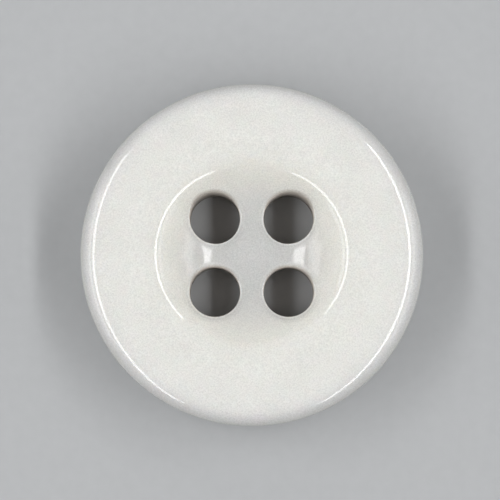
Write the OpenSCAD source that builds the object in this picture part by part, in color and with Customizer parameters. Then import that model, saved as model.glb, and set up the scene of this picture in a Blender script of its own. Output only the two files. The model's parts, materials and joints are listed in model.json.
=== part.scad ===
// A round four-hole sew-on button: a thick, glossy disc with a broad,
// slightly domed brim around a round dish, and four thread holes in a square
// through the dish's floor. The button is one solid piece.
// Origin at the middle of the flat back, +Z towards the face, millimetres.

/* [Disc] */
// Outer diameter
button_d = 17; // [16:0.5:24]
// Height from the flat back to the top of the brim
button_t = 3.6; // [3.2:0.1:4.6]
// Width of the soft shoulder where the brim turns down into the side
shoulder_w = 1.3; // [0.6:0.05:1.6]
// Height of that shoulder
shoulder_h = 0.82; // [0.5:0.02:1.2]
// Rounding between the side and the flat back
back_edge_r = 1; // [0.4:0.05:1.4]

/* [Brim] */
// Steepness of the brim's slight dome where it meets the shoulder, in degrees
brim_slope = 3; // [1:0.5:6]

/* [Dish] */
// Diameter of the brim's highest line, where the surface turns down into the dish
dish_d = 10.6; // [9.6:0.1:11]
// Depth of the dish below that line, at its centre
dish_depth = 2.08; // [1.4:0.02:2.3]
// Rounding of the lip between the brim and the dish
lip_r = 1.5; // [0.4:0.1:2]

/* [Thread holes] */
// Diameter of each hole
hole_d = 2.5; // [1.6:0.1:2.8]
// Distance between the middles of neighbouring holes
hole_pitch = 3.68; // [3.2:0.01:3.9]
// Width of the bevel that eases each hole's edge at the back
back_bevel = 0.15; // [0.05:0.05:0.3]

/* [Hidden] */
$fn = 96;
// Steps in each small rounding, and in the dish's long hollow
round_steps = 12;
dish_steps = 24;
// How far a cutter runs past the surface that it opens
clear = 1;

outer_r = button_d / 2;
mouth_r = dish_d / 2;

// The dish is a ball's hollow that runs smoothly into the lip's rounding,
// so the depth and the mouth settle its steepest slope and the ball's radius.
dish_slope = 2 * atan(dish_depth / mouth_r);
ball_r = mouth_r / sin(dish_slope) - lip_r;

// The shoulder is a quarter of an ellipse that starts at the dome's slope.
shoulder_start = 90 - atan(tan(brim_slope) * shoulder_w / shoulder_h);
shoulder_x = outer_r - shoulder_w;
dome_r = (shoulder_x + shoulder_w * cos(shoulder_start) - mouth_r) / sin(brim_slope);
shoulder_z = button_t - dome_r * (1 - cos(brim_slope)) - shoulder_h * sin(shoulder_start);

// Points along an arc, by its middle, its half width and half height,
// and the angles of its ends from the radial direction.
function arc(middle, half, from, to, steps) =
    [for (i = [0:steps])
        let (a = from + (to - from) * i / steps)
        middle + [half.x * cos(a), half.y * sin(a)]];

dish_arc = arc([0, button_t - dish_depth + ball_r], [ball_r, ball_r],
               270, 270 + dish_slope, dish_steps);
lip_arc = arc([mouth_r, button_t - lip_r], [lip_r, lip_r],
              90 + dish_slope, 90, round_steps);
dome_arc = arc([mouth_r, button_t - dome_r], [dome_r, dome_r],
               90, 90 - brim_slope, round_steps);
shoulder_arc = arc([shoulder_x, shoulder_z], [shoulder_w, shoulder_h],
                   shoulder_start, 0, round_steps);
back_arc = arc([outer_r - back_edge_r, back_edge_r], [back_edge_r, back_edge_r],
               0, -90, round_steps);

// Half of the button's section, from the dish's centre out over the brim to the back.
module section() {
    polygon(concat(dish_arc, lip_arc, dome_arc, shoulder_arc, back_arc, [[0, 0]]));
}

// The turned disc before its holes are drilled.
module blank() {
    rotate_extrude() section();
}

// One thread hole's cutter, with its eased edge at the back.
module thread_hole() {
    translate([0, 0, -clear]) cylinder(d = hole_d, h = button_t + 2 * clear);
    translate([0, 0, -back_bevel])
        cylinder(r1 = hole_d / 2 + 2 * back_bevel, r2 = hole_d / 2, h = 2 * back_bevel);
}

// The whole button: the disc with its four thread holes.
module button() {
    color([0.91, 0.91, 0.89])
        difference() {
            blank();
            for (x = [-1, 1], y = [-1, 1])
                translate([x, y, 0] * hole_pitch / 2) thread_hole();
        }
}

button();
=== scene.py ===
"""A round, white, four-hole sew-on button of polished cast polyester, lying face up on a pale floor.

The disc's section is a chain of arcs: the hollow of the dish, its rounded lip, the brim's slight
dome, the shoulder, the side and the rounded back edge. Four drilled holes with rounded rims go
through the dish's floor. Sections are worked out in millimetres and placed in metres.
"""

import json
import math

import bmesh
import bpy
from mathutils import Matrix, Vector, noise


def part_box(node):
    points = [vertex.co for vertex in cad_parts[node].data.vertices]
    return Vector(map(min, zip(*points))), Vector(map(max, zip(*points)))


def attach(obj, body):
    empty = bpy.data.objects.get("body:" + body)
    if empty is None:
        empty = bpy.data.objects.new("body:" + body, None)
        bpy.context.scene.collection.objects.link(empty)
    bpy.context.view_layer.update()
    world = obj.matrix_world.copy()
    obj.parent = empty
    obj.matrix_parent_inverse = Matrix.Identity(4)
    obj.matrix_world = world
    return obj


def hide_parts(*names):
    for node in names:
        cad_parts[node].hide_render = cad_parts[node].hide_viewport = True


MM = 0.001
MICRON = 0.001 * MM

# Section of the disc, in millimetres, and how steep the brim's dome is at its outer end
SHOULDER_W = 1.3
SHOULDER_H = 0.82
BACK_EDGE_R = 1.0
BRIM_SLOPE = math.radians(3)
DISH_D = 10.6
DISH_DEPTH = 2.08
LIP_R = 1.5

# Each hole's edge rolls over, by a width and a height. At the face the rounding was cut a little off
# the hole's middle, so it is widest on the +Y side and tight on the other.
FACE_RIM = (0.13, 0.09)
FACE_RIM_OFFSET = 0.6
BACK_RIM = (0.15, 0.15)

# The plastic's colour out from the middle: partly its own tint, cooler where it is thin and warmer over the
# thick brim, and partly painted light. Painted shade darkens the middle of the dish and greys the last
# millimetre or so before the side, and the lip's slope is kept light in place of light bounced round the
# dish. The distance out in millimetres, then the colour
TINT_AND_PAINTED_SHADE_OUT = (
    (0.0, (0.665, 0.665, 0.655)),
    (1.7, (0.65, 0.652, 0.636)),
    (3.0, (0.715, 0.71, 0.683)),
    (4.1, (0.83, 0.82, 0.765)),
    (4.9, (0.86, 0.855, 0.81)),
    (7.3, (0.85, 0.847, 0.81)),
    (7.9, (0.80, 0.795, 0.775)),
    (8.2, (0.67, 0.667, 0.66)),
    (8.5, (0.55, 0.55, 0.53)))

# Painted shade on a hole's wall, a brownish grey that is darker low down and lighter high up, and the
# heights between which it changes. At the edge it fades out over the reach, and it spreads further over the
# face on the +Y side as painted shade there.
WALL_SHADE_LOW = (0.24, 0.22, 0.20, 1)
WALL_SHADE_HIGH = (0.56, 0.515, 0.47, 1)
WALL_SHADE_HEIGHTS = (0.7, 2.1)
WALL_SHADE_REACH = 0.03
WALL_SHADE_EXTRA = 0.19

# The two colours of faint patches that tint the plastic
GREENISH = (0.97, 1.0, 0.985, 1)
ROSY = (1.0, 0.97, 0.985, 1)

# The plastic's lightness: its middle value, how far clouds and grain take it, what the painted highlight
# round a hole adds, and the painted shade beside a hole: all round it, out from the axis and towards -Y
LIGHTNESS = 1.05
CLOUDS = 0.12
GRAIN = 0.44
RIM_HIGHLIGHT = 0.25
SHADE_ROUND = 0.03
SHADE_OUT = 0.1
SHADE_FRONT = 0.15

# Heights of the dents in the dish and of the back's turning lines, in thousandths of a millimetre,
# and how far apart those lines are, in millimetres
WIDE_DENTS = 11.0
SMALL_DENTS = 3.5
TURNING_LINES = 0.8
TURNING_PITCH = 0.16

# Roughness of the polished face, and what is added in the dull ring round a hole, on its wall and on
# the back
GLOSS = 0.09
DULL_RING = 0.3
MATT_WALL = 0.4
SATIN_BACK = 0.2

# Where an effect begins and where it is full, in millimetres out from a hole's edge. The dull ring
# fades on its outside and on its inside.
SHADE_BAND = (0.4, 0.0)
RIM_HIGHLIGHT_BAND = (0.12, 0.05)
DULL_BAND_OUTSIDE = (0.34, 0.18)
DULL_BAND_INSIDE = (0.04, 0.1)
WALL_BAND = (0.012, 0.0)

# The same out from the axis, and the stretch inside the lip over which the dents come in
OUTWARD_BAND = (2.2, 3.4)
DENTS_FADE = 0.8

# The same up from the flat back, for what is only there or only above it
BACK_BAND = (0.3, 0.05)

# The same towards +Y from a hole's middle, in radii of the hole
WALL_SHADE_UP = (0.1, 0.9)
RIM_HIGHLIGHT_UP = (0.75, 0.2)
SHADE_UP = (0.2, -0.8)

# Slow waviness that turning and polishing leave on the face, in millimetres: its height, its spacing
# and the height over which it fades out above the back's rounded edge
WAVE_HEIGHT = 0.0012
WAVE_SPACING = 1.6
WAVE_FADE = 0.3

# How finely each stretch of the section and of a hole's surroundings is divided
LIP_STEPS = 22
DOME_STEPS = 20
SHOULDER_STEPS = 28
SIDE_STEPS = 5
BACK_EDGE_STEPS = 16
BACK_FLAT_STEPS = 8
AXIS_STEPS = 54
ARC_STEPS = 92
RIM_STEPS = 10
WEB_STEPS = 20
WALL_STEPS = 10
BACK_STEPS = 8

# The floor: half its width, the gap under the button and its paper's two shades
FLOOR_HALF = 0.3
FLOOR_GAP = 10 * MICRON
PAPER_DARK = (0.50, 0.51, 0.52, 1)
PAPER_LIGHT = (0.54, 0.55, 0.56, 1)

# The surround's tint, how bright it is level with the button and overhead, and how high up, from 0
# level to 1 overhead, it has turned dim
ROOM_TINT = Vector((0.98, 0.99, 1.0))
LEVEL_GLOW = 0.52
OVERHEAD_GLOW = 0.08
DIM_FROM = 0.45

# The share of that brightness at the sides, and what is added to it at the back and lost at the front
SIDE_SHARE = 0.82
BACK_SHARE = 0.23

# How far away the lamps are, in metres
LAMP_DISTANCE = 0.35

# The camera: its lean towards the button's front, its distance, the middle of its view in millimetres
# from the axis, the width that it takes in, and its sensor's width in the camera's own millimetres
CAMERA_LEAN = math.radians(3.6)
CAMERA_DISTANCE = 118 * MM
VIEW_MIDDLE = (-0.09, 0.22)
VIEW_WIDTH = 24.81 * MM
SENSOR = 36


class Wire:
    """A shader socket that takes part in sums: each operator adds the node that works it out."""

    def __init__(self, finish, socket):
        self.finish, self.socket = finish, socket

    def maths(self, operation, *operands):
        return self.finish.maths(operation, *operands)

    def __add__(self, other):
        return self.maths("ADD", self, other)

    def __sub__(self, other):
        return self.maths("SUBTRACT", self, other)

    def __rsub__(self, other):
        return self.maths("SUBTRACT", other, self)

    def __mul__(self, other):
        return self.maths("MULTIPLY", self, other)

    def __pow__(self, other):
        return self.maths("POWER", self, other)

    __radd__, __rmul__ = __add__, __mul__


class Finish:
    """The look of a material or of the surround, built node by node."""

    def __init__(self, owner):
        self.owner = owner
        owner.use_nodes = True
        self.tree = owner.node_tree
        self.tree.nodes.clear()

    def node(self, kind, settings=None, sockets=None, output=0):
        """Adds a node: its settings first, then the values or wires of its sockets."""
        made = self.tree.nodes.new("ShaderNode" + kind)
        for name, value in (settings or {}).items():
            setattr(made, name, value)
        for name, value in (sockets or {}).items():
            if isinstance(value, Wire):
                self.tree.links.new(value.socket, made.inputs[name])
            else:
                made.inputs[name].default_value = value
        return Wire(self, made.outputs[output]) if made.outputs else made

    def maths(self, operation, *operands):
        """A sum on numbers or wires, by the name of its operation."""
        return self.node("Math", {"operation": operation}, dict(enumerate(operands)))

    def ramp(self, value, low, high):
        """0 where value is low, 1 where it is high, and a smooth change between."""
        return self.node("MapRange", {"interpolation_type": "SMOOTHSTEP"},
                         {"Value": value, "From Min": low, "From Max": high})

    def blend(self, factor, first, second):
        """A colour between two others."""
        return self.node("Mix", {"data_type": "RGBA"}, {"Factor": factor, 6: first, 7: second}, 2)

    def along(self, value, length, stops):
        """A colour that changes smoothly by way of its stops as value goes from 0 to length."""
        made = self.node("ValToRGB", {}, {0: value * (1 / length)})
        band = made.socket.node.color_ramp
        band.interpolation = "CARDINAL"
        for place, colour in stops[1:-1]:
            band.elements.new(place / length).color = (*colour, 1)
        for i in (0, -1):
            band.elements[i].color = (*stops[i][1], 1)
        return made

    def scale(self, vector, factor):
        """A colour or a vector times a number."""
        return self.node("VectorMath", {"operation": "SCALE"}, {0: vector, "Scale": factor})

    def patches(self, place, size, detail=2.0):
        """Soft random patches of about that size, from 0 to 1; detail adds finer ones within them."""
        return self.node("TexNoise", {}, {"Vector": place, "Scale": 1 / size, "Detail": detail})


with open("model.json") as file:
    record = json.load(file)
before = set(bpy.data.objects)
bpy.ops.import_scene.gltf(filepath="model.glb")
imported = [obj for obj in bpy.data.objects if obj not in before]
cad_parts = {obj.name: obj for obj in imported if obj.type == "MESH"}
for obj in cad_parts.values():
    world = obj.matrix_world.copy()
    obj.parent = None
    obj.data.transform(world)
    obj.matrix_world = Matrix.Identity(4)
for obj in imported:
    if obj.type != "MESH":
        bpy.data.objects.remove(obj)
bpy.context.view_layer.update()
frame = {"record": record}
holes = [m for m in frame["record"]["mounts"] if m["kind"] == "bore"]
hole_r = holes[0]["dims"]["r_mm"]
hole_x, hole_y = (max(m["pos_m"][i] for m in holes) / MM for i in (0, 1))
button_low, button_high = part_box("button")
outer_r = (button_high[0] - button_low[0]) / 2 / MM
button_t = (button_high[2] - button_low[2]) / MM

# The dish is part of a ball that runs smoothly into the lip's rounding; web_r is where they meet
mouth_r = DISH_D / 2
dish_slope = 2 * math.atan(DISH_DEPTH / mouth_r)
ball_r = mouth_r / math.sin(dish_slope) - LIP_R
web_r = ball_r * math.sin(dish_slope)

# The brim's slight dome runs from the lip's highest line to the shoulder, a quarter of an ellipse that
# starts with the dome's slope
shoulder_start = math.pi / 2 - math.atan(math.tan(BRIM_SLOPE) * SHOULDER_W / SHOULDER_H)
shoulder_x = outer_r - SHOULDER_W
dome_r = (shoulder_x + SHOULDER_W * math.cos(shoulder_start) - mouth_r) / math.sin(BRIM_SLOPE)
shoulder_z = (button_t - dome_r * (1 - math.cos(BRIM_SLOPE))
              - SHOULDER_H * math.sin(shoulder_start))


def dish_height(r):
    """Height of the dish's hollow at a radius."""
    return button_t - DISH_DEPTH + ball_r - math.sqrt(ball_r ** 2 - r ** 2)


def arc(middle, half, start, end, steps):
    """Points along an arc in the section, leaving out its first; angles are from the radial line."""
    turn = [start + (end - start) * i / steps for i in range(1, steps + 1)]
    return [(middle[0] + half[0] * math.cos(a), middle[1] + half[1] * math.sin(a)) for a in turn]


def rim_section():
    """The section from the lip out over the brim and the side to the middle of the back."""
    up = math.pi / 2
    side = [(outer_r, shoulder_z + (BACK_EDGE_R - shoulder_z) * i / SIDE_STEPS)
            for i in range(1, SIDE_STEPS + 1)]
    back_flat = outer_r - BACK_EDGE_R
    return ([(web_r, dish_height(web_r))]
            + arc((mouth_r, button_t - LIP_R), (LIP_R, LIP_R), up + dish_slope, up, LIP_STEPS)
            + arc((mouth_r, button_t - dome_r), (dome_r, dome_r), up, up - BRIM_SLOPE, DOME_STEPS)
            + arc((shoulder_x, shoulder_z), (SHOULDER_W, SHOULDER_H), shoulder_start, 0, SHOULDER_STEPS)
            + side
            + arc((back_flat, BACK_EDGE_R), (BACK_EDGE_R, BACK_EDGE_R), 0, -up, BACK_EDGE_STEPS)
            + [(back_flat + (web_r - back_flat) * i / BACK_FLAT_STEPS, 0.0)
               for i in range(1, BACK_FLAT_STEPS + 1)])


def quarter_edge():
    """Points round a quarter of the web, from the +X axis along the arc and back by the axes."""
    quarter = math.pi / 2
    curve = [(web_r * math.cos(quarter * i / ARC_STEPS), web_r * math.sin(quarter * i / ARC_STEPS))
             for i in range(ARC_STEPS)]
    down = [(0.0, web_r * (1 - i / AXIS_STEPS)) for i in range(AXIS_STEPS)]
    along = [(web_r * i / AXIS_STEPS, 0.0) for i in range(AXIS_STEPS)]
    return curve + down + along


def hole_rings(side):
    """Rings of (x, y, z) round one hole: in over the face, down the wall and out over the back.

    They are worked out where x and y are above 0. side is -1 if Y is mirrored afterwards, and else 1.
    """
    edge = quarter_edge()
    aim = [math.atan2(y - hole_y, x - hole_x) for x, y in edge]
    (face_w, face_h), (back_w, back_h) = FACE_RIM, BACK_RIM
    spread = [1 + FACE_RIM_OFFSET * side * math.sin(a) for a in aim]
    even = [1.0] * len(aim)

    def ring(width, spread):
        return [(hole_x + (hole_r + width * s) * math.cos(a), hole_y + (hole_r + width * s) * math.sin(a))
                for a, s in zip(aim, spread)]

    def web(width, spread, share):
        return [(x * (1 - share) + edge_x * share, y * (1 - share) + edge_y * share)
                for (x, y), (edge_x, edge_y) in zip(ring(width, spread), edge)]

    def face(points, drop):
        return [(x, y, dish_height(math.hypot(x, y)) - drop * s) for (x, y), s in zip(points, spread)]

    rings = [face(web(face_w, spread, 1 - i / WEB_STEPS), 0.0) for i in range(WEB_STEPS)]
    for i in range(RIM_STEPS + 1):
        a = math.pi / 2 * (1 - i / RIM_STEPS)
        rings.append(face(ring(face_w * (1 - math.cos(a)), spread), face_h * (1 - math.sin(a))))
    top = rings[-1]
    for i in range(1, WALL_STEPS):
        share = i / WALL_STEPS
        rings.append([(x, y, z * (1 - share) + back_h * share) for x, y, z in top])
    for i in range(RIM_STEPS + 1):
        a = math.pi / 2 * i / RIM_STEPS
        height = back_h * (1 - math.sin(a))
        rings.append([(x, y, height) for x, y in ring(back_w * (1 - math.cos(a)), even)])
    for i in range(1, BACK_STEPS + 1):
        rings.append([(x, y, 0.0) for x, y in web(back_w, even, i / BACK_STEPS)])
    return rings


def waviness(x, y, z):
    """How far the polished face stands off its true shape, fading out down the side."""
    lift = noise.noise(Vector((x, y, z)) / WAVE_SPACING) * WAVE_HEIGHT
    return lift * min(1.0, max(0.0, (z - BACK_EDGE_R) / WAVE_FADE))


def strip(mesh, rows, closed=True):
    """Joins rows of points with four-sided faces."""
    made = [[mesh.verts.new(Vector((x, y, z + waviness(x, y, z))) * MM) for x, y, z in row] for row in rows]
    count = len(rows[0])
    for upper, lower in zip(made, made[1:]):
        for i in range(count if closed else count - 1):
            j = (i + 1) % count
            mesh.faces.new((upper[i], upper[j], lower[j], lower[i]))


def button_mesh():
    """The whole button as one closed skin."""
    mesh = bmesh.new()
    for sy in (1, -1):
        rings = hole_rings(sy)
        for sx in (1, -1):
            strip(mesh, [[(x * sx, y * sy, z) for x, y, z in row] for row in rings])
    turns = [2 * math.pi * i / (4 * ARC_STEPS) for i in range(4 * ARC_STEPS)]
    strip(mesh, [[(r * math.cos(a), r * math.sin(a), z) for a in turns] for r, z in rim_section()])
    bmesh.ops.remove_doubles(mesh, verts=mesh.verts, dist=MICRON)
    bmesh.ops.recalc_face_normals(mesh, faces=mesh.faces)
    for skin in mesh.faces:
        skin.smooth = True
    data = bpy.data.meshes.new("button_disc")
    mesh.to_mesh(data)
    mesh.free()
    return data


class Spot:
    """Where on the button a point of its surface is, as wires; lengths are in millimetres."""

    def __init__(self, finish):
        self.place = finish.scale(finish.node("TexCoord", {}, {}, "Object"), 1 / MM)
        x, y, self.z = (finish.node("SeparateXYZ", {}, {0: self.place}, i) for i in range(3))
        self.radius = (x * x + y * y) ** 0.5

        # 1 on the flat back and 0 above it, and the other way round
        self.back = finish.ramp(self.z, *BACK_BAND)
        self.face = 1 - self.back

        # Out from the nearest hole's edge, and how far the point is towards +Y of that hole's middle,
        # in radii of the hole
        aside = finish.maths("ABSOLUTE", x) - hole_x
        ahead = finish.maths("ABSOLUTE", y) - hole_y
        self.from_hole = (aside ** 2 + ahead ** 2) ** 0.5 - hole_r
        self.up = (y - finish.maths("SIGN", y) * hole_y) * (1 / hole_r)


def plastic_tint(finish, spot):
    """Tint and painted shade out from the middle, brownish painted shade on the holes' walls, with faint
    greenish and rosy patches.
    """
    # Partly the plastic's own tint, partly painted shade in the dish's middle and towards the side
    radial_tint_and_shade = finish.along(spot.radius, outer_r, TINT_AND_PAINTED_SHADE_OUT)
    # Painted shade on each hole's wall, darker lower down, which spreads onto the face on the hole's +Y
    # side
    drilled = finish.blend(finish.ramp(spot.z, *WALL_SHADE_HEIGHTS), WALL_SHADE_LOW, WALL_SHADE_HIGH)
    reach = WALL_SHADE_REACH + finish.ramp(spot.up, *WALL_SHADE_UP) * spot.face * WALL_SHADE_EXTRA
    tint = finish.blend(finish.ramp(spot.from_hole, reach, 0.0), radial_tint_and_shade, drilled)
    blush = finish.blend(finish.patches(spot.place, size=0.7, detail=1.0), GREENISH, ROSY)
    return finish.node("Mix", {"data_type": "RGBA", "blend_type": "MULTIPLY"},
                       {"Factor": 1.0, 6: tint, 7: blush}, 2)


def plastic_lightness(finish, spot):
    """Clouds and grain, a painted highlight round each hole and painted shade beside it."""
    cloud = finish.patches(spot.place, size=1.8)
    grain = finish.patches(spot.place, size=0.07, detail=1.0)
    # A painted highlight round each hole's edge, on all but its +Y side
    line = finish.ramp(spot.from_hole, *RIM_HIGHLIGHT_BAND) * finish.ramp(spot.up, *RIM_HIGHLIGHT_UP) * spot.face
    # Painted shade beside each hole, more of it out from the axis and towards -Y
    beside = finish.ramp(spot.from_hole, *SHADE_BAND) * spot.face
    outward = finish.ramp(spot.radius, *OUTWARD_BAND)
    front = finish.ramp(spot.up, *SHADE_UP)
    lightness = LIGHTNESS + (cloud - 0.5) * CLOUDS + (grain - 0.5) * GRAIN + line * RIM_HIGHLIGHT
    return lightness - beside * (SHADE_ROUND + outward * SHADE_OUT + front * SHADE_FRONT)


def plastic_relief(finish, spot):
    """A fine ripple, dents in the dish, where the buff didn't reach, and turning lines on the back."""
    ripple = finish.patches(spot.place, size=0.35, detail=1.0)
    wide = finish.patches(spot.place, size=0.42, detail=0.0)
    small = finish.patches(spot.place, size=0.15, detail=0.0)
    in_dish = finish.ramp(spot.radius, web_r, web_r - DENTS_FADE) * spot.face
    lines = finish.maths("SINE", spot.radius * (2 * math.pi / TURNING_PITCH))
    height = (ripple + (wide * WIDE_DENTS + small * SMALL_DENTS) * in_dish
              + lines * spot.back * TURNING_LINES)
    return finish.node("Bump", {}, {"Strength": 1.0, "Distance": MICRON, "Height": height})


def plastic_roughness(finish, spot):
    """Glossy on the face, duller in a ring round each hole, matt on its wall and satin on the back."""
    dull_ring = (finish.ramp(spot.from_hole, *DULL_BAND_OUTSIDE)
                 * finish.ramp(spot.from_hole, *DULL_BAND_INSIDE))
    wall = finish.ramp(spot.from_hole, *WALL_BAND)
    return GLOSS + dull_ring * DULL_RING + wall * MATT_WALL + spot.back * SATIN_BACK


def polished_polyester():
    """White cast polyester that lets a little light in."""
    finish = Finish(bpy.data.materials.new("polished_polyester"))
    spot = Spot(finish)
    shader = finish.node("BsdfPrincipled", {"subsurface_method": "RANDOM_WALK"}, {
        "Base Color": finish.scale(plastic_tint(finish, spot), plastic_lightness(finish, spot)),
        "Roughness": plastic_roughness(finish, spot), "Normal": plastic_relief(finish, spot),
        "IOR": 1.5, "Subsurface Weight": 0.3, "Subsurface Radius": (1.0, 0.9, 0.75),
        "Subsurface Scale": 0.5 * MM})
    finish.node("OutputMaterial", {}, {"Surface": shader})
    return finish.owner


def floor_paper():
    """Matt pale grey paper."""
    finish = Finish(bpy.data.materials.new("floor_paper"))
    place = finish.node("TexCoord", {}, {}, "Object")
    tint = finish.blend(finish.patches(place, size=0.6 * MM, detail=3.0), PAPER_DARK, PAPER_LIGHT)
    shader = finish.node("BsdfPrincipled", {}, {"Base Color": tint, "Roughness": 0.9})
    finish.node("OutputMaterial", {}, {"Surface": shader})
    return finish.owner


def add_floor():
    """A wide floor just under the button's flat back."""
    mesh = bmesh.new()
    corners = [mesh.verts.new((x * FLOOR_HALF, y * FLOOR_HALF, -FLOOR_GAP))
               for x, y in ((-1, -1), (1, -1), (1, 1), (-1, 1))]
    mesh.faces.new(corners)
    data = bpy.data.meshes.new("floor")
    mesh.to_mesh(data)
    mesh.free()
    floor = bpy.data.objects.new("floor", data)
    bpy.context.collection.objects.link(floor)
    data.materials.append(floor_paper())


def surround():
    """The room round the button: pale level with it, dim overhead and dimmer towards its front."""
    finish = Finish(bpy.data.worlds.new("surround"))
    way = finish.node("TexCoord", {}, {}, "Generated")
    back, height = (finish.node("SeparateXYZ", {}, {0: way}, i) for i in (1, 2))
    light = finish.blend(finish.ramp(height, 0.0, DIM_FROM), (*ROOM_TINT * LEVEL_GLOW, 1),
                         (*ROOM_TINT * OVERHEAD_GLOW, 1))
    shown = finish.node("Background", {}, {"Color": finish.scale(light, SIDE_SHARE + back * BACK_SHARE)})
    finish.node("OutputWorld", {}, {"Surface": shown})
    return finish.owner


def add_lamp(name, turn, lean, width, length, glow, slide=0.0):
    """A flat lamp that faces the button, turned round it from +X and leaning out from straight above.

    Its width runs up and down, slide moves it along Y, and glow is how bright its face looks. Angles
    are in degrees and lengths in metres.
    """
    lamp = bpy.data.lights.new(name, "AREA")
    lamp.shape, lamp.size, lamp.size_y = "RECTANGLE", width, length
    lamp.energy = glow * math.pi * width * length
    thing = bpy.data.objects.new(name, lamp)
    turn, lean = math.radians(turn), math.radians(lean)
    out = Vector((math.sin(lean) * math.cos(turn), math.sin(lean) * math.sin(turn), math.cos(lean)))
    thing.location = out * LAMP_DISTANCE + Vector((0, slide, 0))
    thing.rotation_euler = (0, lean, turn)
    bpy.context.collection.objects.link(thing)


def add_lights():
    """On each side a long, bright strip and two lower, dimmer panels, and a broad panel at the back."""
    add_lamp("strip_right", turn=0, lean=40, width=0.044, length=0.686, glow=9.0, slide=-0.105)
    add_lamp("strip_left", turn=180, lean=42, width=0.052, length=0.66, glow=6.9, slide=-0.118)
    add_lamp("panel_right", turn=0, lean=58, width=0.065, length=0.316, glow=2.2, slide=-0.01)
    add_lamp("panel_left", turn=180, lean=58, width=0.065, length=0.316, glow=2.7, slide=-0.01)
    add_lamp("low_panel_right", turn=0, lean=76, width=0.12, length=0.40, glow=0.6)
    add_lamp("low_panel_left", turn=180, lean=76, width=0.12, length=0.40, glow=0.8)
    add_lamp("back_panel", turn=90, lean=65, width=0.25, length=0.50, glow=0.5)
    bpy.context.scene.world = surround()


def add_camera():
    """Nearly straight above the button, leaning a little towards its front."""
    camera = bpy.data.cameras.new("camera")
    thing = bpy.data.objects.new("camera", camera)
    bpy.context.collection.objects.link(thing)
    middle = Vector((VIEW_MIDDLE[0], VIEW_MIDDLE[1], shoulder_z)) * MM
    back = Vector((0, -math.sin(CAMERA_LEAN), math.cos(CAMERA_LEAN)))
    thing.location = middle + back * CAMERA_DISTANCE
    thing.rotation_euler = (CAMERA_LEAN, 0, 0)
    camera.sensor_width = SENSOR
    camera.lens = SENSOR * CAMERA_DISTANCE / VIEW_WIDTH
    camera.clip_start, camera.clip_end = 0.01, 10
    bpy.context.scene.camera = thing


disc = bpy.data.objects.new("button_disc", button_mesh())
bpy.context.collection.objects.link(disc)
disc.data.materials.append(polished_polyester())
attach(disc, "root")
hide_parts("button")
add_floor()
add_lights()
add_camera()
bpy.context.scene.view_settings.view_transform = "Standard"
